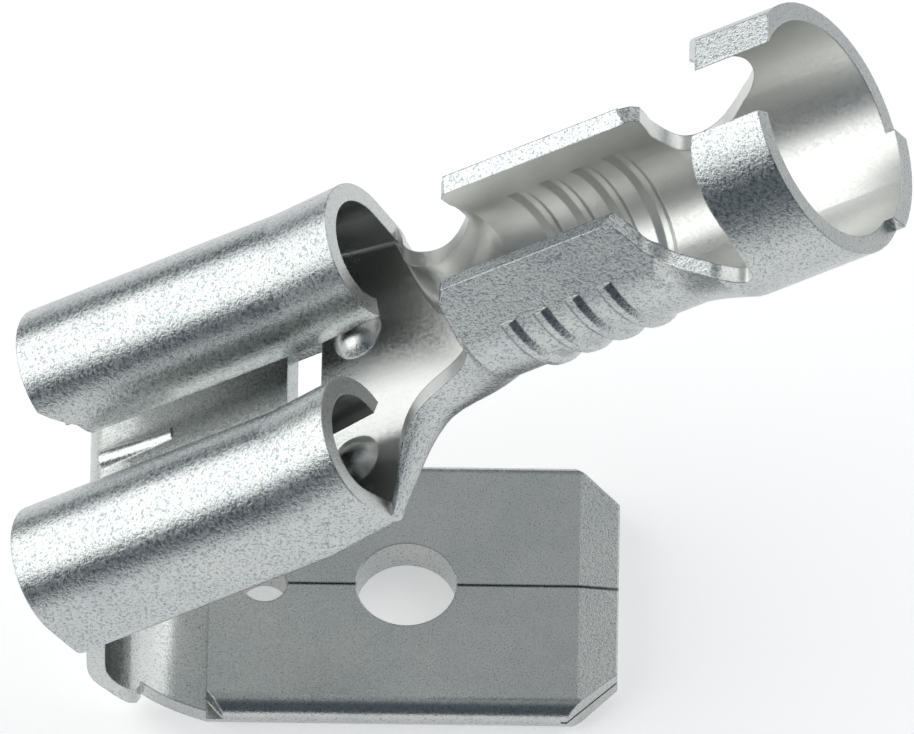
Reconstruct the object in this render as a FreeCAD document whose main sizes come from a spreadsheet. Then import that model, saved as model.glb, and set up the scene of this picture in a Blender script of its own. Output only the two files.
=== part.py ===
"""Piggyback spade terminal: one strip of tin-plated brass, cut, folded and rolled.

The strip starts as a folded male tab that lies on the ground plane. It turns up at the tab's front
end, bends back over itself and rises at a slope as the floor of a female receptacle with two rolled
sides. Behind the rolls the floor narrows to a neck, which opens into a ribbed wire barrel and an
insulation barrel. Everything is one sheet of one thickness, so the terminal is one solid.

Millimetres. The origin is the centre of the tab's detent hole, on the face that the tab lies on.
+X points to the tab's tip, +Y across the strip and +Z up.
"""

import FreeCAD, Part
import Sketcher
import math
import os
import re

from FreeCAD import Placement, Rotation, Vector

# Driving dimensions, in millimetres and degrees

SIZES = {
    "sheet_thick": 0.38,
    "cut_reach": 20.0,
    # Male tab, folded double
    "tab_width": 6.3,
    "tab_thick": 0.8,
    "tab_length": 8.46,
    "tab_corner": 1.03,
    "bevel_length": 0.82,
    "bevel_depth": 0.1,
    "hole_radius": 1.03,
    "hole_to_tip": 4.38,
    "seam_hole_radius": 0.47,
    "seam_hole_place": 2.93,
    "seam_gap": 0.05,
    "seam_groove": 0.12,
    "flap_corner": 0.45,
    # Web that carries the receptacle, measured from the tab's front end
    "root_length": 0.35,
    "root_inset": 0.2,
    "bend_inside": 1.72,
    "web_slope": 90.0,
    "web_length": 1.53,
    "front_bend_inside": 0.22,
    "web_width": 5.58,
    "web_top_width": 6.6,
    "relief_length": 1.36,
    "relief_width": 4.92,
    "lip_corner": 0.24,
    # Female receptacle
    "tilt": 35.0,
    "sleeve_width": 7.84,
    "sleeve_height": 2.8,
    "sleeve_length": 7.93,
    "sleeve_lead": 0.51,
    "root_inside": 0.12,
    "roll_radius": 1.45,
    "roll_turn": 202.0,
    "mouth_chamfer": 0.55,
    "mouth_low": 0.4,
    "mouth_high": 1.6,
    "rear_length": 1.7,
    "rear_inset": 0.25,
    "rear_lean": 12.0,
    "window_length": 0.86,
    "window_width": 3.2,
    "window_place": 4.66,
    "stop_place": 6.42,
    "stop_spread": 1.58,
    "stop_shift": 0.2,
    "stop_radius": 0.57,
    "stop_height": 0.33,
    "bead_length": 1.75,
    "bead_spread": 0.72,
    "bead_radius": 0.24,
    "bead_height": 0.17,
    "bead_slope": 4.0,
    # Wire barrel, with its places measured from the sleeve's rear end
    "neck_length": 3.3,
    "barrel_radius": 1.97,
    "barrel_turn": 108.7,
    "barrel_height": 3.9,
    "wing_front": 3.4,
    "near_wing_rear": 7.95,
    "far_wing_rear": 8.28,
    "wing_corner": 0.22,
    "rib_first": 4.45,
    "rib_pitch": 0.79,
    "rib_count": 4,
    "rib_width": 0.42,
    "rib_height": 0.12,
    "rib_turn": 113.0,
    # Insulation barrel
    "flare_start": 8.0,
    "grip_start": 9.6,
    "grip_rear": 12.3,
    "grip_radius": 2.7,
    "grip_drop": 0.07,
    "grip_turn": 157.0,
    "far_wing_height": 4.42,
    "cutoff_width": 2.2,
    "cutoff_length": 0.22,
}

# Neck sections: distance behind the sleeve, half width and outside corner radius

NECK = [
    (-0.04, 3.67, 0.5),
    (0.4, 2.92, 0.7),
    (0.85, 2.3, 0.93),
    (1.35, 1.94, 1.1),
    (2.05, 1.76, 1.1),
    (2.65, 1.81, 1.35),
]

# Sheet edges seen from the side: distance behind the sleeve and height above its floor

NECK_EDGE = [(0.05, 0.1), (0.25, 0.25), (0.55, 0.62), (1.3, 1.0), (2.0, 1.16), (2.5, 1.4), (3.15, 1.95)]
NEAR_EDGE = [
    (8.05, 2.88),
    (8.25, 2.5),
    (8.6, 2.36),
    (9.2, 2.34),
    (9.6, 2.25),
    (9.82, 1.95),
    (10.04, 1.8),
    (10.22, 1.9),
    (10.36, 2.28),
    (10.45, 2.7),
    (10.48, 3.6),
    (10.48, 4.3),
    (10.62, 4.7),
    (11.1, 4.85),
    (12.8, 4.95),
]
FAR_EDGE = [
    (8.1, 2.69),
    (7.92, 1.95),
    (8.05, 1.44),
    (8.45, 1.22),
    (9.4, 1.36),
    (10.05, 1.75),
    (10.38, 2.3),
    (10.34, 2.72),
    (9.95, 2.95),
    (9.65, 3.05),
    (9.62, 3.3),
    (9.9, 3.75),
    (10.4, 4.3),
    (10.6, 4.6),
]


def filled_sheet(doc):
    """The spreadsheet that holds every driving dimension under its own name."""
    sheet = doc.addObject("Spreadsheet::Sheet", "sizes")
    for row, (name, value) in enumerate(SIZES.items(), start=1):
        sheet.set(f"A{row}", name)
        sheet.set(f"B{row}", repr(value))
        sheet.setAlias(f"B{row}", name)
    doc.recompute()
    return sheet


doc = FreeCAD.newDocument("spade_terminal")
sheet = filled_sheet(doc)


def size(name):
    """A driving dimension, read from the spreadsheet."""
    return float(getattr(sheet, name))


def bind(thing, **formulas):
    """Ties properties of an object to formulas of the spreadsheet's cells."""
    for name, formula in formulas.items():
        tie(thing, name.replace("__", "."), formula)
    return thing


def tie(thing, place, formula):
    """Ties one property, named by its path, to a formula."""
    words = re.sub(r"[a-z_]+", lambda word: "sizes." + word[0] if word[0] in SIZES else word[0], formula)
    thing.setExpression(place, words)


def made(kind, name, **formulas):
    """A new object of the document, with its sizes tied to the spreadsheet."""
    return bind(doc.addObject(kind, name), **formulas)


def shaped(name, shape):
    """A new object that holds an outline made by Part's own functions."""
    holder = doc.addObject("Part::Feature", name)
    holder.Shape = shape
    return holder


# Bent sheet outlines


def steps(point, heading, moves):
    """The line and arc pieces of a path, each with its start, heading, length and turn."""
    here = Vector(point[0], point[1], 0)
    for kind, amount, turn in moves:
        yield kind, here, heading, amount, turn
        forward = Vector(math.cos(math.radians(heading)), math.sin(math.radians(heading)), 0)
        if kind == "line":
            here = here + forward * amount
        else:
            side = math.copysign(1, turn)
            centre = here + Vector(-forward.y, forward.x, 0) * amount * side
            here = centre + Rotation(Vector(0, 0, 1), turn).multVec(here - centre)
            heading = heading + turn
    yield "end", here, heading, 0, 0


def path_end(point, heading, moves):
    """Where a path ends, and its heading there."""
    kind, here, heading, amount, turn = list(steps(point, heading, moves))[-1]
    return here, heading


def side_edges(point, heading, moves, offset):
    """The edges at one side of a path, offset to its left."""
    edges = []
    for kind, here, heading, amount, turn in steps(point, heading, moves):
        forward = Vector(math.cos(math.radians(heading)), math.sin(math.radians(heading)), 0)
        left = Vector(-forward.y, forward.x, 0)
        start = here + left * offset
        if kind == "line":
            edges.append(Part.LineSegment(start, start + forward * amount).toShape())
        if kind == "arc":
            centre = here + left * amount * math.copysign(1, turn)
            middle = centre + Rotation(Vector(0, 0, 1), turn / 2).multVec(start - centre)
            finish = centre + Rotation(Vector(0, 0, 1), turn).multVec(start - centre)
            edges.append(Part.Arc(start, middle, finish).toShape())
    return edges


def first_point(edges):
    return edges[0].valueAt(edges[0].FirstParameter)


def last_point(edges):
    return edges[-1].valueAt(edges[-1].LastParameter)


def sheet_wire(point, heading, moves):
    """The closed outline of a bent sheet whose middle follows a path."""
    left = side_edges(point, heading, moves, half_sheet)
    right = side_edges(point, heading, moves, -half_sheet)
    caps = [
        Part.LineSegment(first_point(left), first_point(right)).toShape(),
        Part.LineSegment(last_point(left), last_point(right)).toShape(),
    ]
    return Part.Wire(Part.__sortEdges__(left + right + caps))


def mirrored_wire(start_height, moves):
    """The outline of a sheet that is the same on both sides of the strip's middle plane."""
    end, heading = path_end((0, start_height), 0, moves)
    kind, amount, turn = moves[0]
    whole = list(reversed(moves[1:])) + [(kind, 2 * amount, turn)] + moves[1:]
    return sheet_wire((-end.x, end.y), -heading, whole)


def stood_up(wire, along):
    """A section drawn flat, turned to stand across the strip at a distance along it."""
    turned = wire.copy()
    turned.Placement = Placement(Vector(along, 0, 0), Rotation(Vector(1, 1, 1), 120))
    return turned


def side_face(points, across_place=0):
    """A flat face from its corners in the strip's side view."""
    return Part.Face(Part.makePolygon([Vector(x, across_place, z) for x, z in points + points[:1]]))


# Receptacle, neck and barrels, drawn with the floor's upper face at height 0

ALONG = Vector(1, 0, 0)
ACROSS = Vector(0, 1, 0)
UP = Vector(0, 0, 1)
half_sheet = size("sheet_thick") / 2
reach = size("cut_reach")
sleeve_start = -size("sleeve_lead")
sleeve_end = sleeve_start + size("sleeve_length")
SLEEVE_END = "( sleeve_length - sleeve_lead )"


def sleeve_wire(inset, lean):
    """The receptacle's section: a flat floor, and sides that roll up, over and down again."""
    root = size("root_inside") + half_sheet
    roll = size("roll_radius") - half_sheet
    floor = size("sleeve_width") / 2 - inset - half_sheet - root
    roll_centre = size("sleeve_height") - size("sheet_thick") - size("roll_radius")
    wall = (roll_centre - root + half_sheet) / math.cos(math.radians(lean))
    moves = [
        ("line", floor, 0),
        ("arc", root, 90 - lean),
        ("line", wall, 0),
        ("arc", roll, size("roll_turn") + lean),
    ]
    return mirrored_wire(-half_sheet, moves)


def neck_wire(half_width, corner):
    """A neck section: a flat floor and upright walls, which are trimmed to height later."""
    moves = [
        ("line", half_width - corner, 0),
        ("arc", corner - half_sheet, 90),
        ("line", size("barrel_height") - corner, 0),
    ]
    return mirrored_wire(-half_sheet, moves)


def barrel_wire():
    """The wire barrel's section: a round bottom and wings that lean in."""
    radius = size("barrel_radius") - half_sheet
    lean = size("barrel_turn") - 90
    arc_top = radius * (1 + math.sin(math.radians(lean))) + half_sheet
    wing = (size("barrel_height") - arc_top) / math.cos(math.radians(lean))
    flat = half_sheet / 20
    return mirrored_wire(-half_sheet, [("line", flat, 0), ("arc", radius, size("barrel_turn")), ("line", wing, 0)])


def grip_wire():
    """The insulation barrel's section: an open ring."""
    radius = size("grip_radius") - half_sheet
    flat = half_sheet / 20
    moves = [("line", flat, 0), ("arc", radius, size("grip_turn")), ("line", half_sheet / 4, 0)]
    return mirrored_wire(-half_sheet - size("grip_drop"), moves)


def lofted(name, wires):
    """A solid that passes smoothly from one section to the next."""
    sections = [shaped(f"{name}_section_{n + 1}", wire) for n, wire in enumerate(wires)]
    loft = doc.addObject("Part::Loft", name)
    loft.Sections = sections
    loft.Solid = True
    return loft


def pulled(name, outline, direction, length, back="0 mm"):
    """A solid pulled from a flat outline, forward by one length and back by another."""
    pull = made("Part::Extrusion", name, LengthFwd=length, LengthRev=back)
    pull.Base = outline
    pull.DirMode = "Custom"
    pull.Dir = direction
    pull.Solid = True
    return pull


def side_outline(name, points, curved):
    """A closed outline in the strip's side view, whose first points lie on one smooth curve."""
    places = [Vector(along, 0, height) for along, height in points]
    curve = Part.BSplineCurve()
    curve.interpolate(places[:curved])
    edges = [curve.toShape()]
    corners = places[curved - 1:] + places[:1]
    for start, finish in zip(corners, corners[1:]):
        edges.append(Part.LineSegment(start, finish).toShape())
    return shaped(name, Part.Face(Part.Wire(edges)))


def joined(name, parts):
    """One object from several that share faces or overlap."""
    whole = doc.addObject("Part::MultiFuse", name)
    whole.Shapes = parts
    whole.Refine = True
    return whole


def trimmed(name, base, cutters):
    """An object with cutters taken away from it."""
    rest = doc.addObject("Part::Cut", name)
    rest.Base = base
    rest.Tool = cutters[0] if len(cutters) == 1 else joined(name + "_cutters", cutters)
    rest.Refine = True
    return rest


def behind(points):
    """Places measured from the sleeve's rear end, as places along the floor."""
    return [(sleeve_end + along, height) for along, height in points]


sleeve_front = pulled(
    "sleeve_front",
    shaped("sleeve_section", stood_up(sleeve_wire(0, 0), sleeve_start)),
    ALONG,
    "sleeve_length - rear_length",
)
sleeve_rear = lofted(
    "sleeve_rear",
    [
        stood_up(sleeve_wire(0, 0), sleeve_end - size("rear_length")),
        stood_up(sleeve_wire(size("rear_inset"), size("rear_lean")), sleeve_end),
    ],
)
neck_end = sleeve_end + size("neck_length")
neck = lofted(
    "neck",
    [stood_up(neck_wire(width, corner), sleeve_end + along) for along, width, corner in NECK]
    + [stood_up(barrel_wire(), neck_end)],
)
wire_barrel = pulled(
    "wire_barrel",
    shaped("barrel_section", stood_up(barrel_wire(), neck_end)),
    ALONG,
    "flare_start - neck_length",
)
grip_start = sleeve_end + size("grip_start")
flare = lofted(
    "flare",
    [
        stood_up(barrel_wire(), sleeve_end + size("flare_start")),
        stood_up(grip_wire(), grip_start),
    ],
)
grip = pulled(
    "grip",
    shaped("grip_section", stood_up(grip_wire(), grip_start)),
    ALONG,
    "grip_rear + cutoff_length - grip_start",
)

# Cuts that leave the neck's low walls, the wings' corners and the grip's two unlike wings

wing_top = size("barrel_height") - size("sheet_thick")
round_off = size("wing_corner")
neck_front = NECK_EDGE[0][0] - size("sheet_thick")
neck_line = NECK_EDGE + [
    (size("wing_front") - round_off / 4, wing_top - 2 * round_off),
    (size("wing_front"), wing_top - round_off),
    (size("wing_front") + round_off, wing_top),
    (size("wing_front") + round_off, reach),
    (neck_front, reach),
    (neck_front, NECK_EDGE[0][1]),
]
neck_cut = pulled(
    "neck_cut", side_outline("neck_line", behind(neck_line), len(NECK_EDGE)), ACROSS, "cut_reach", "cut_reach"
)


def wing_line(name, wing_end, edge):
    """The side outline over the trough behind the wire barrel and one of the grip's wings."""
    wing_corner = [
        (edge[-1][0], reach),
        (wing_end - 1.4 * round_off, reach),
        (wing_end - 1.4 * round_off, wing_top),
        (wing_end - 0.4 * round_off, wing_top - 0.4 * round_off),
        (wing_end, wing_top - 1.4 * round_off),
    ]
    return side_outline(name, behind(edge + wing_corner), len(edge))


near_line = wing_line("near_wing_line", size("near_wing_rear"), NEAR_EDGE)
far_line = wing_line("far_wing_line", size("far_wing_rear"), FAR_EDGE)
near_cut = pulled("near_wing_cut", near_line, -ACROSS, "cut_reach")
far_cut = pulled("far_wing_cut", far_line, ACROSS, "cut_reach")
far_top = made(
    "Part::Box",
    "far_top_cut",
    Length="cut_reach",
    Width="cut_reach",
    Height="cut_reach",
    Placement__Base__x=SLEEVE_END + " + far_wing_rear",
    Placement__Base__z="far_wing_height",
)


def tail_block(name, y, z):
    """A block that trims the barrel's rear end and leaves the cut-off tongue at the bottom."""
    return made(
        "Part::Box",
        name,
        Length="cut_reach",
        Width="cut_reach",
        Height="cut_reach",
        Placement__Base__x=SLEEVE_END + " + grip_rear",
        Placement__Base__y=y,
        Placement__Base__z=z,
    )


tail_cuts = [
    tail_block("far_tail_cut", "0.5 * cutoff_width", "-0.5 * cut_reach"),
    tail_block("near_tail_cut", "-0.5 * cutoff_width - cut_reach", "-0.5 * cut_reach"),
    tail_block("tail_top_cut", "-0.5 * cut_reach", "grip_radius"),
]
neck_and_barrel = trimmed("trimmed_neck", joined("neck_and_barrel", [neck, wire_barrel]), [neck_cut])
barrels = trimmed(
    "trimmed_barrels", joined("barrels", [neck_and_barrel, flare, grip]), [near_cut, far_cut, far_top] + tail_cuts
)

# Ribs pressed out of the wire barrel, each a ridge outside and a groove inside


def ribs(name, drop):
    """A row of open rings with sloping flanks, on one face of the barrel's sheet."""
    foot = size("rib_width") / 2
    crest = foot / 3
    base = size("barrel_radius") - drop
    root = base - size("sheet_thick") / 3
    row = []
    for number in range(int(size("rib_count"))):
        along = sleeve_end + size("rib_first") + number * size("rib_pitch")
        profile = [
            (along - foot, root),
            (along - foot, base),
            (along - crest, base + size("rib_height")),
            (along + crest, base + size("rib_height")),
            (along + foot, base),
            (along + foot, root),
        ]
        rib = doc.addObject("Part::Revolution", f"{name}_{number + 1}")
        rib.Source = shaped(f"{name}_profile_{number + 1}", side_face(profile))
        rib.Axis = ALONG
        rib.Solid = True
        rib.Placement = Placement(Vector(), Rotation(ALONG, 180 - size("rib_turn")))
        bind(rib, Angle="2 * rib_turn", Placement__Base__z="barrel_radius - sheet_thick")
        row.append(rib)
    return row


ridges = ribs("ridge", 0)
grooves = ribs("groove", size("sheet_thick"))

# Receptacle details

window = made(
    "Part::Box",
    "window",
    Length="window_length",
    Width="window_width",
    Height="2 * sheet_thick",
    Placement__Base__x="window_place",
    Placement__Base__y="-0.5 * window_width",
    Placement__Base__z="-1.5 * sheet_thick",
)


def stop(name, side):
    """A round stop pressed up from the floor, and the dimple that it leaves below."""
    ball = "( stop_radius ^ 2 + stop_height ^ 2 ) / ( 2 * stop_height )"
    places = {
        "Placement__Base__x": "stop_place",
        "Placement__Base__y": f"{side} * stop_spread - stop_shift",
        "Placement__Base__z": "stop_height - " + ball,
    }
    dome = made("Part::Sphere", name + "_stop", Radius=ball, **places)
    dimple = made("Part::Sphere", name + "_dimple", Radius=ball + " - sheet_thick", **places)
    radius = (size("stop_radius") ** 2 + size("stop_height") ** 2) / (2 * size("stop_height"))
    dome.Angle1 = math.degrees(math.asin((radius - size("stop_height") - half_sheet) / radius))
    return dome, dimple


far_stop, far_dimple = stop("far", 1)
near_stop, near_dimple = stop("near", -1)


def bead(name, side):
    """A short ridge that rises from the floor towards the mouth."""
    ridge = made("Part::Cylinder", name, Radius="bead_radius", Height="bead_length")
    ridge.Placement = Placement(Vector(), Rotation(ACROSS, 90 + size("bead_slope")))
    return bind(ridge, Placement__Base__y=f"{side} * bead_spread", Placement__Base__z="bead_height - bead_radius")


beads = [bead("far_bead", 1), bead("near_bead", -1)]

# The rolls' free edges are cut back at the mouth, and the floor's lead is cut away there

mouth_slope = size("mouth_low") + size("mouth_chamfer")
mouth_line = [
    (sleeve_start - reach, size("mouth_low")),
    (sleeve_start + size("mouth_chamfer"), size("mouth_low")),
    (sleeve_start + size("mouth_chamfer"), mouth_slope),
    (sleeve_start, size("mouth_high")),
    (sleeve_start - reach, size("mouth_high")),
]
mouth_cut = pulled("mouth_cut", shaped("mouth_line", side_face(mouth_line)), ACROSS, "roll_radius", "roll_radius")
floor_cut = made(
    "Part::Box",
    "floor_cut",
    Length="2 * sleeve_lead",
    Width="web_top_width",
    Height="2 * sheet_thick",
    Placement__Base__x="-2 * sleeve_lead",
    Placement__Base__y="-0.5 * web_top_width",
    Placement__Base__z="-1.5 * sheet_thick",
)
trimmed_sleeve = trimmed("trimmed_sleeve", sleeve_front, [mouth_cut, floor_cut])
upper_blank = joined("upper_blank", [trimmed_sleeve, sleeve_rear, barrels, far_stop, near_stop] + beads + ridges)
upper = trimmed("upper", upper_blank, [window, far_dimple, near_dimple] + grooves)

# Web: the strip turned up from the tab and back into the receptacle's floor

tab_start = size("hole_to_tip") - size("tab_length")
overlap = size("sheet_thick") / 4
web_moves = [
    ("line", size("root_length") + overlap, 0),
    ("arc", size("bend_inside") + half_sheet, -size("web_slope")),
    ("line", size("web_length"), 0),
    ("arc", size("front_bend_inside") + half_sheet, size("tilt") + size("web_slope") - 180),
    ("line", overlap, 0),
]
web_point = (tab_start + overlap, half_sheet)
floor_front, floor_heading = path_end(web_point, 180, web_moves[:-1])
web_wire = sheet_wire(web_point, 180, web_moves)
web_wire.Placement = Placement(Vector(), Rotation(ALONG, 90))
web_strip = pulled("web_strip", shaped("web_line", web_wire), ACROSS, "0.5 * tab_width", "0.5 * tab_width")
web_half = size("web_width") / 2
top_half = size("web_top_width") / 2
rise = size("web_length") * math.sin(math.radians(size("web_slope")))
lip = tab_start - size("relief_length")
web_cuts = []
for name, side in (("far", 1), ("near", -1)):
    flank = [
        Vector(tab_start - reach, side * y, z)
        for y, z in (
            (web_half, -reach),
            (web_half, size("bend_inside") / 2),
            (top_half, size("bend_inside") + rise),
            (top_half, reach),
            (reach, reach),
            (reach, -reach),
            (web_half, -reach),
        )
    ]
    flank_face = shaped(name + "_flank", Part.Face(Part.makePolygon(flank)))
    web_cuts.append(pulled(name + "_flank_cut", flank_face, ALONG, "cut_reach - relief_length"))
    relief = [
        Vector(x, side * y, 0)
        for x, y in (
            (lip - size("lip_corner"), web_half),
            (lip - size("lip_corner") / 3, web_half - size("lip_corner") / 3),
            (lip, web_half - size("lip_corner")),
            (lip, size("relief_width") / 2),
            (tab_start, size("tab_width") / 2 - size("root_inset")),
            (tab_start + reach, size("tab_width") / 2 - size("root_inset")),
            (tab_start + reach, reach),
            (lip - size("lip_corner"), reach),
            (lip - size("lip_corner"), web_half),
        )
    ]
    relief_face = shaped(name + "_relief", Part.Face(Part.makePolygon(relief)))
    web_cuts.append(pulled(name + "_relief_cut", relief_face, UP, "bend_inside", "bend_inside"))
web = trimmed("web", web_strip, web_cuts)

# Male tab: the sheet folded in from both sides, with a seam where the two flaps meet

tab = doc.addObject("PartDesign::Body", "tab")


def drawing(name, role, offset="0 mm"):
    """A sketch on one of the tab's own planes, or at a distance from it."""
    sketch = tab.newObject("Sketcher::SketchObject", name)
    plane = next(item for item in tab.Origin.OriginFeatures if item.Role == role)
    sketch.AttachmentSupport = (plane, [""])
    sketch.MapMode = "FlatFace"
    tie(sketch, "AttachmentOffset.Base.z", offset)
    return sketch


def measured(sketch, constraint, formula):
    """Adds a constraint whose value is a formula."""
    tie(sketch, f"Constraints[{sketch.addConstraint(constraint)}]", formula)


def pinned(sketch, geometry, point, x, y):
    """Ties a point of a sketch to formulas for its two coordinates."""
    measured(sketch, Sketcher.Constraint("DistanceX", -1, 1, geometry, point, 1), x)
    measured(sketch, Sketcher.Constraint("DistanceY", -1, 1, geometry, point, 1), y)


def polygon(sketch, corners):
    """Draws a closed outline with its corners tied to formulas."""
    turns = [Rotation(UP, 360 * number / len(corners)).multVec(ALONG) for number in range(len(corners))]
    lines = [sketch.addGeometry(Part.LineSegment(a, b)) for a, b in zip(turns, turns[1:] + turns[:1])]
    for line, following, (x, y) in zip(lines, lines[1:] + lines[:1], corners):
        sketch.addConstraint(Sketcher.Constraint("Coincident", line, 2, following, 1))
        pinned(sketch, line, 1, x, y)


def circle(sketch, radius, x, y):
    """Draws a circle with its radius and centre tied to formulas."""
    ring = sketch.addGeometry(Part.Circle(ALONG, UP, 1))
    measured(sketch, Sketcher.Constraint("Radius", ring, 1), radius)
    pinned(sketch, ring, 3, x, y)


def pocket(name, sketch, depth=None):
    """A pocket above a sketch, through the whole tab or to a depth."""
    cut = tab.newObject("PartDesign::Pocket", name)
    cut.Profile = (sketch, [""])
    cut.Reversed = True
    if depth is None:
        cut.Type = "ThroughAll"
    else:
        bind(cut, Length=depth)
    return cut


def both_sides(sketch, corners):
    """Draws an outline and its mirror image across the strip."""
    polygon(sketch, corners)
    polygon(sketch, [(x, f"-( {y} )") for x, y in corners])


section = drawing("tab_section", "YZ_Plane", "hole_to_tip - tab_length")
fold = size("tab_thick") / 2
flat = size("tab_width") / 2 - fold
quarter = math.pi / 2
under = section.addGeometry(Part.LineSegment(Vector(-flat, 0), Vector(flat, 0)))
far_fold = section.addGeometry(Part.ArcOfCircle(Part.Circle(Vector(flat, fold), UP, fold), -quarter, quarter))
over = section.addGeometry(Part.LineSegment(Vector(flat, 2 * fold), Vector(-flat, 2 * fold)))
near_fold = section.addGeometry(Part.ArcOfCircle(Part.Circle(Vector(-flat, fold), UP, fold), quarter, 3 * quarter))
for piece, following in ((under, far_fold), (far_fold, over), (over, near_fold), (near_fold, under)):
    section.addConstraint(Sketcher.Constraint("Tangent", piece, 2, following, 1))
section.addConstraint(Sketcher.Constraint("Horizontal", under))
section.addConstraint(Sketcher.Constraint("Symmetric", under, 1, under, 2, -1, 1))
measured(section, Sketcher.Constraint("DistanceX", under, 1, under, 2, flat), "tab_width - tab_thick")
measured(section, Sketcher.Constraint("Radius", far_fold, fold), "0.5 * tab_thick")
measured(section, Sketcher.Constraint("Radius", near_fold, fold), "0.5 * tab_thick")
blank = tab.newObject("PartDesign::Pad", "tab_blank")
blank.Profile = (section, [""])
bind(blank, Length="tab_length")

holes = drawing("tab_holes", "XY_Plane")
circle(holes, "hole_radius", "0 * tab_width", "0 * tab_width")
circle(holes, "seam_hole_radius", "-1 * seam_hole_place", "0 * tab_width")
pocket("hole_cut", holes)

tip_corners = drawing("tip_corners", "XY_Plane")
both_sides(
    tip_corners,
    [
        ("hole_to_tip - tab_corner", "0.5 * tab_width"),
        ("hole_to_tip + tab_corner", "0.5 * tab_width"),
        ("hole_to_tip + tab_corner", "0.5 * tab_width - 2 * tab_corner"),
    ],
)
pocket("tip_corner_cut", tip_corners)

BEVEL_END = "bevel_depth * ( 1 + tab_thick / bevel_length )"
bevels = drawing("tip_bevels", "XZ_Plane", "tab_width")
for low, beyond, end in (
    ("0 * tab_width", "-1 * tab_thick", BEVEL_END),
    ("tab_thick", "2 * tab_thick", "tab_thick - " + BEVEL_END),
):
    polygon(
        bevels,
        [
            ("hole_to_tip - bevel_length", low),
            ("hole_to_tip + tab_thick", end),
            ("hole_to_tip + tab_thick", beyond),
            ("hole_to_tip - bevel_length", beyond),
        ],
    )
bevel_cut = pocket("bevel_cut", bevels)
bevel_cut.Reversed = False

seam = drawing("seam_line", "XY_Plane", "tab_thick - seam_groove")
polygon(
    seam,
    [
        ("hole_to_tip - 2 * tab_length", "-0.5 * seam_gap"),
        ("hole_to_tip + tab_length", "-0.5 * seam_gap"),
        ("hole_to_tip + tab_length", "0.5 * seam_gap"),
        ("hole_to_tip - 2 * tab_length", "0.5 * seam_gap"),
    ],
)
pocket("seam_cut", seam)

layers = drawing("layer_line", "XY_Plane", "0.5 * ( tab_thick - seam_gap )")
polygon(
    layers,
    [
        ("hole_to_tip - tab_corner - seam_groove", "0.5 * tab_width - seam_groove"),
        ("hole_to_tip - seam_groove", "0.5 * tab_width - tab_corner - seam_groove"),
        ("hole_to_tip - seam_groove", "seam_groove + tab_corner - 0.5 * tab_width"),
        ("hole_to_tip - tab_corner - seam_groove", "seam_groove - 0.5 * tab_width"),
        ("hole_to_tip - tab_corner - seam_groove", "-0.5 * tab_width - seam_groove"),
        ("hole_to_tip + seam_groove", "-0.5 * tab_width - seam_groove"),
        ("hole_to_tip + seam_groove", "0.5 * tab_width + seam_groove"),
        ("hole_to_tip - tab_corner - seam_groove", "0.5 * tab_width + seam_groove"),
    ],
)
pocket("layer_cut", layers, "seam_gap")

flaps = drawing("flap_corners", "XY_Plane", "0.5 * tab_thick")
both_sides(
    flaps,
    [
        ("hole_to_tip - tab_length - flap_corner", "0.5 * tab_width - flap_corner"),
        ("hole_to_tip - tab_length", "0.5 * tab_width - flap_corner"),
        ("hole_to_tip - tab_length + flap_corner", "0.5 * tab_width + seam_groove"),
        ("hole_to_tip - tab_length - flap_corner", "0.5 * tab_width + seam_groove"),
    ],
)
pocket("flap_corner_cut", flaps)

# One piece

tilt = math.radians(size("tilt"))
floor_lift = Vector(-math.sin(tilt), 0, math.cos(tilt)) * half_sheet
upper.Placement = Placement(Vector(floor_front.x, 0, floor_front.y) + floor_lift, Rotation(ACROSS, -size("tilt")))
terminal = joined("terminal_solid", [tab, web, upper])
terminal.Label = "terminal"
doc.recompute()

for thing in doc.Objects:
    if "Invalid" in thing.State or "Error" in thing.State:
        raise RuntimeError(f"{thing.Name} failed to build")
for thing in (tab, web, upper, terminal):
    if thing.Shape.isNull() or not thing.Shape.isValid() or len(thing.Shape.Solids) != 1:
        raise RuntimeError(f"{thing.Label} isn't one valid solid")
os.makedirs("parts", exist_ok=True)
terminal.Shape.exportStep(f"parts/{terminal.Label}.step")
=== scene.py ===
import bpy
from mathutils import Matrix, Vector

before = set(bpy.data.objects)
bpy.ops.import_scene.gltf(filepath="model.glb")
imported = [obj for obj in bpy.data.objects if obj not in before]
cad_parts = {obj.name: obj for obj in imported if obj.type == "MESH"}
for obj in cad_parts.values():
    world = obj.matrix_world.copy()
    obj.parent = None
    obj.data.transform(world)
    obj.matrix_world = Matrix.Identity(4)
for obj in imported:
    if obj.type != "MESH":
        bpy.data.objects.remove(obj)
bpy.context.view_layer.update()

MM = 0.001
DEGREE = 0.01745

# Camera: a long lens at the photograph's angle, level with the tab and looking down on it at 55 degrees

PIXELS_WIDE = 914
PIXELS_PER_MM = 48.8
SENSOR_WIDE = 36.0
TARGET = Vector((1.043, 0.0, 8.643)) * MM
RIGHT = Vector((1.0, 0.0154, 0.0))
UP = Vector((0.0, 0.8197, 0.5738))
# Known fault: beyond about 0.72 the views from other angles clip the object away and show none of it
DISTANCE = 0.9


def long_lens():
    right = RIGHT.normalized()
    up = (UP - right * UP.dot(right)).normalized()
    back = right.cross(up)
    place = TARGET + back * DISTANCE
    data = bpy.data.cameras.new("camera")
    data.sensor_fit = "HORIZONTAL"
    data.sensor_width = SENSOR_WIDE
    data.lens = SENSOR_WIDE * DISTANCE / (PIXELS_WIDE / PIXELS_PER_MM * MM)
    data.clip_start = 0.01
    data.clip_end = 10.0
    camera = bpy.data.objects.new("camera", data)
    camera.matrix_world = Matrix((
        (right.x, up.x, back.x, place.x),
        (right.y, up.y, back.y, place.y),
        (right.z, up.z, back.z, place.z),
        (0, 0, 0, 1),
    ))
    bpy.context.scene.collection.objects.link(camera)
    bpy.context.scene.camera = camera


long_lens()
bpy.context.scene.view_settings.view_transform = "Standard"


# Node helpers


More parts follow.
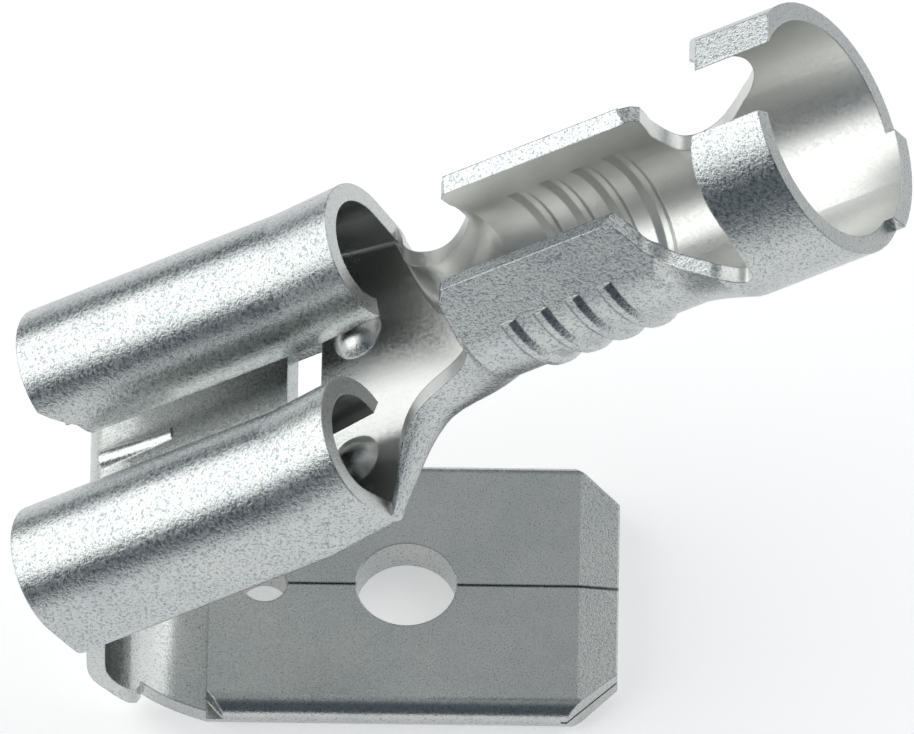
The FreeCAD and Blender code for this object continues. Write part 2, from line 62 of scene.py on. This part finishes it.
def new_material(name):
    material = bpy.data.materials.new(name)
    material.use_nodes = True
    tree = material.node_tree
    return material, tree, tree.nodes["Principled BSDF"]


def node(tree, kind, inputs=None, **settings):
    """A shader node with its settings and the values or links of its inputs."""
    made = tree.nodes.new(kind)
    for key, value in settings.items():
        setattr(made, key, value)
    for key, value in (inputs or {}).items():
        if isinstance(value, bpy.types.NodeSocket):
            tree.links.new(value, made.inputs[key])
        else:
            made.inputs[key].default_value = value
    return made


def maths(tree, operation, first, second=0.0):
    """The result of an operation on one or two values or links."""
    return node(tree, "ShaderNodeMath", {0: first, 1: second}, operation=operation).outputs[0]


def times(tree, first, second):
    return maths(tree, "MULTIPLY", first, second)


def smooth_step(tree, value, low, high, top=1.0):
    """Rises smoothly from 0 to the top as the value goes from low to high."""
    made = node(
        tree,
        "ShaderNodeMapRange",
        {"Value": value, "From Min": low, "From Max": high, "To Max": top},
        interpolation_type="SMOOTHSTEP",
    )
    return made.outputs["Result"]


def ramp(tree, factor, stops):
    """A colour ramp over a factor, as (place, grey or colour) stops."""
    made = node(tree, "ShaderNodeValToRGB", {"Fac": factor})
    band = made.color_ramp
    while len(band.elements) < len(stops):
        band.elements.new(0.5)
    for element, (place, colour) in zip(band.elements, stops):
        element.position = place
        shade = (colour, colour, colour) if isinstance(colour, float) else colour
        element.color = (*shade, 1.0)
    return made.outputs["Color"]


def blend(tree, factor, first, second, kind="MIX"):
    """Two colours mixed or multiplied by a factor."""
    made = node(
        tree,
        "ShaderNodeMix",
        {"Factor": factor, "A": first, "B": second},
        data_type="RGBA",
        blend_type=kind,
    )
    return made.outputs["Result"]


def noise(tree, place, scale, detail):
    made = node(
        tree,
        "ShaderNodeTexNoise",
        {"Vector": place, "Scale": scale, "Detail": detail, "Roughness": 0.6},
    )
    return made.outputs["Fac"]


def mapped(tree, vector, kind="POINT", **values):
    """A vector turned, moved or scaled by the values given."""
    inputs = {name.capitalize(): value for name, value in values.items()}
    inputs["Vector"] = vector
    return node(tree, "ShaderNodeMapping", inputs, vector_type=kind).outputs["Vector"]


# The upper strip: its tilt, its front end, and the places along it and above it, each from where to where
# the painted shade, the painted light and the coarser or finer bumps come in

STRIP_TURN = (0.0, 0.6109, 0.0)
STRIP_PLACE = (2.775 * MM, 0.0, -6.975 * MM)
STRIP_FRONT = (-1.0 * MM, -0.7 * MM)
STRIP_BOTTOM = (-0.5 * MM, -0.2 * MM)
BARREL_START = (7.3 * MM, 7.9 * MM)
# From here back, the inside of the strip is given painted light
PAINTED_LIGHT_START = (5.0 * MM, 7.5 * MM)
SIDE_BLEND = 0.25 * MM
# The rolls' centres beside the middle and above the strip's floor, and how much higher the barrels' one is
ROLL_SPREAD = 2.47 * MM
ROLL_HEIGHT = 1.45 * MM
BARREL_RISE = 0.55 * MM


def strip_faces(tree, place, normal):
    """Two masks: the upper strip's rolled outside, given painted shade, and its inside behind the
    receptacle, given painted light.
    """
    spot = mapped(tree, place, rotation=STRIP_TURN, location=STRIP_PLACE)
    along, across, up = node(tree, "ShaderNodeSeparateXYZ", {"Vector": spot}).outputs
    face = mapped(tree, normal, "VECTOR", rotation=STRIP_TURN)
    _, face_across, face_up = node(tree, "ShaderNodeSeparateXYZ", {"Vector": face}).outputs

    # The curl's centre: one for each roll in front, and one in the middle for the barrels behind
    behind = smooth_step(tree, along, *BARREL_START)
    spread = times(tree, maths(tree, "SUBTRACT", 1.0, behind), ROLL_SPREAD)
    height = maths(tree, "ADD", ROLL_HEIGHT, times(tree, behind, BARREL_RISE))

    # Positive where the face looks away from that centre
    sideways = maths(tree, "SUBTRACT", maths(tree, "ABSOLUTE", across), spread)
    sideways = times(tree, times(tree, sideways, maths(tree, "SIGN", across)), face_across)
    upwards = times(tree, maths(tree, "SUBTRACT", up, height), face_up)
    outer = smooth_step(tree, maths(tree, "ADD", sideways, upwards), -SIDE_BLEND, SIDE_BLEND)

    strip = times(tree, smooth_step(tree, along, *STRIP_FRONT), smooth_step(tree, up, *STRIP_BOTTOM))
    rolled_painted_shade = times(tree, strip, outer)
    inside_painted_light = maths(tree, "SUBTRACT", strip, rolled_painted_shade)
    return rolled_painted_shade, times(tree, inside_painted_light, smooth_step(tree, along, *PAINTED_LIGHT_START))


# Tin plate over brass: satin grey and mottled; painted shade darkens the rolled outside towards blue-grey,
# and painted light makes the smooth inside paler

SPECKLES_PER_METRE = 30000.0
GRAINS_PER_METRE = 13000.0
STREAKS_PER_METRE = 9000.0
CLOUDS_PER_METRE = 700.0
STREAK_STRETCH = (0.1, 1.0, 1.0)

TINT = [(0.35, (0.54, 0.56, 0.56)), (0.65, (0.6, 0.615, 0.6))]
# Painted shade: the blue-grey that darkens the rolled outside, spread in the grain's pattern
PAINTED_SHADE_MOTTLE = [(0.37, (0.4, 0.46, 0.52)), (0.49, (1.0, 1.0, 1.0))]
PITS = [(0.3, 0.35), (0.42, 1.0)]
# Painted light: a paler grey for the inside behind the receptacle
PAINTED_LIGHT_INSIDE_COLOUR = (0.71, 0.715, 0.695, 1.0)
PAINTED_SHADE_SHARE = 0.7
PIT_SHARE = 0.8
FEWER_PITS_INSIDE = 0.65

ROUGHNESS = [(0.35, 0.2), (0.65, 0.3)]
ROUGHER_INSIDE = 0.12

GRAIN_WEIGHT = 1.2
STREAK_WEIGHT = 0.6
COARSER_OUTSIDE = 1.4
FINER_INSIDE = 0.7
BUMP_STRENGTH = 0.4
BUMP_DEPTH = 0.006 * MM
EDGE_RADIUS = 0.05 * MM


def tin_plate():
    material, tree, shader = new_material("tin_plate")
    coordinates = node(tree, "ShaderNodeTexCoord")
    place = coordinates.outputs["Object"]
    rolled_painted_shade, inside_painted_light = strip_faces(tree, place, coordinates.outputs["Normal"])

    speckle = noise(tree, place, SPECKLES_PER_METRE, 1.0)
    grains = noise(tree, place, GRAINS_PER_METRE, 2.0)
    clouds = noise(tree, place, CLOUDS_PER_METRE, 3.0)
    along_strip = mapped(tree, mapped(tree, place, rotation=STRIP_TURN), scale=STREAK_STRETCH)
    streaks = noise(tree, along_strip, STREAKS_PER_METRE, 3.0)

    tint = ramp(tree, clouds, TINT)
    # Painted shade: the rolled outside is darkened towards blue-grey in the grain's pattern
    colour = blend(tree, times(tree, rolled_painted_shade, PAINTED_SHADE_SHARE), tint, ramp(tree, grains, PAINTED_SHADE_MOTTLE), "MULTIPLY")
    # Painted light: the inside behind the receptacle is blended to a paler grey
    colour = blend(tree, inside_painted_light, colour, PAINTED_LIGHT_INSIDE_COLOUR)
    pitted = maths(tree, "SUBTRACT", PIT_SHARE, times(tree, inside_painted_light, FEWER_PITS_INSIDE))
    colour = blend(tree, pitted, colour, ramp(tree, speckle, PITS), "MULTIPLY")
    tree.links.new(colour, shader.inputs["Base Color"])
    shader.inputs["Metallic"].default_value = 1.0

    rough = maths(tree, "ADD", ramp(tree, grains, ROUGHNESS), times(tree, inside_painted_light, ROUGHER_INSIDE))
    tree.links.new(rough, shader.inputs["Roughness"])

    height = maths(tree, "ADD", speckle, times(tree, grains, GRAIN_WEIGHT))
    height = maths(tree, "ADD", height, times(tree, streaks, STREAK_WEIGHT))
    coarse = maths(tree, "SUBTRACT", times(tree, rolled_painted_shade, COARSER_OUTSIDE), times(tree, inside_painted_light, FINER_INSIDE))
    height = times(tree, height, maths(tree, "ADD", coarse, 1.0))
    soft_edge = node(tree, "ShaderNodeBevel", {"Radius": EDGE_RADIUS}, samples=4).outputs["Normal"]
    bump = node(
        tree,
        "ShaderNodeBump",
        {"Height": height, "Strength": BUMP_STRENGTH, "Distance": BUMP_DEPTH, "Normal": soft_edge},
    )
    tree.links.new(bump.outputs["Normal"], shader.inputs["Normal"])
    return material


plate = tin_plate()
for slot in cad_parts["terminal"].material_slots:
    slot.material = plate


# Floor: pale round the object and greyer further off, with a little lift for the camera and reflections

FLOOR_HALF = 1.5
FLOOR_LIFT = 0.47
FLOOR_MIDDLE = (-0.005, 0.03, 0.0)
FLOOR_COLOURS = [(0.0, (0.27, 0.3, 0.33)), (1.0, 0.86)]
PALE_REACH = 0.046
GREY_FROM = 0.08


def floor_plane():
    mesh = bpy.data.meshes.new("floor")
    half = FLOOR_HALF
    corners = [(-half, -half, 0), (half, -half, 0), (half, half, 0), (-half, half, 0)]
    mesh.from_pydata(corners, [], [(0, 1, 2, 3)])
    floor = bpy.data.objects.new("floor", mesh)
    bpy.context.scene.collection.objects.link(floor)

    material, tree, shader = new_material("floor")
    place = node(tree, "ShaderNodeTexCoord").outputs["Object"]
    far = node(tree, "ShaderNodeVectorMath", {0: place, 1: FLOOR_MIDDLE}, operation="DISTANCE")
    pale = smooth_step(tree, far.outputs["Value"], GREY_FROM, PALE_REACH)
    tree.links.new(ramp(tree, pale, FLOOR_COLOURS), shader.inputs["Base Color"])
    shader.inputs["Roughness"].default_value = 0.9
    shader.inputs["Specular IOR Level"].default_value = 0.0
    shader.inputs["Emission Color"].default_value = (1, 1, 1, 1)
    path = node(tree, "ShaderNodeLightPath").outputs
    seen = maths(tree, "MAXIMUM", path["Is Camera Ray"], path["Is Glossy Ray"])
    seen = maths(tree, "MAXIMUM", seen, path["Is Transmission Ray"])
    lift = times(tree, times(tree, seen, pale), FLOOR_LIFT)
    tree.links.new(lift, shader.inputs["Emission Strength"])
    mesh.materials.append(material)


# Room: a dim studio with soft glows, each with its direction, level, colour, and inner and outer reach in
# degrees

GLOWS = [
    # Window to the left, which gives the rolls their white bands
    ((-0.896, 0.042, 0.443), 1.95, (1.0, 1.0, 0.98), 30.0, 43.0),
    # Ceiling, which the flats show as a mid grey
    ((0.0, 0.5, 0.87), 0.34, (1.0, 0.99, 0.96), 25.0, 60.0),
    # Narrow lamp and pale wall to the right, which the web shows as a bright line and a light grey
    ((0.377, 0.574, 0.727), 0.9, (1.0, 1.0, 0.97), 3.0, 9.0),
    ((0.74, 0.56, 0.36), 1.0, (1.0, 1.0, 0.98), 24.0, 40.0),
]
ROOM = {"X": 0.09, "Y": 0.11, "Z": 0.13}


def room():
    world = bpy.data.worlds.new("room")
    world.use_nodes = True
    bpy.context.scene.world = world
    tree = world.node_tree
    background = tree.nodes["Background"]
    direction = node(tree, "ShaderNodeTexCoord").outputs["Generated"]
    total = node(tree, "ShaderNodeCombineXYZ", ROOM).outputs["Vector"]
    for axis, level, colour, inner, outer in GLOWS:
        towards = {0: direction, 1: Vector(axis).normalized()}
        cosine = node(tree, "ShaderNodeVectorMath", towards, operation="DOT_PRODUCT").outputs["Value"]
        angle = maths(tree, "ARCCOSINE", cosine)
        reach = smooth_step(tree, angle, outer * DEGREE, inner * DEGREE, level)
        glow = node(tree, "ShaderNodeVectorMath", {0: colour, "Scale": reach}, operation="SCALE")
        both = {0: total, 1: glow.outputs["Vector"]}
        total = node(tree, "ShaderNodeVectorMath", both, operation="ADD").outputs["Vector"]
    tree.links.new(total, background.inputs["Color"])
    background.inputs["Strength"].default_value = 1.0


floor_plane()
room()
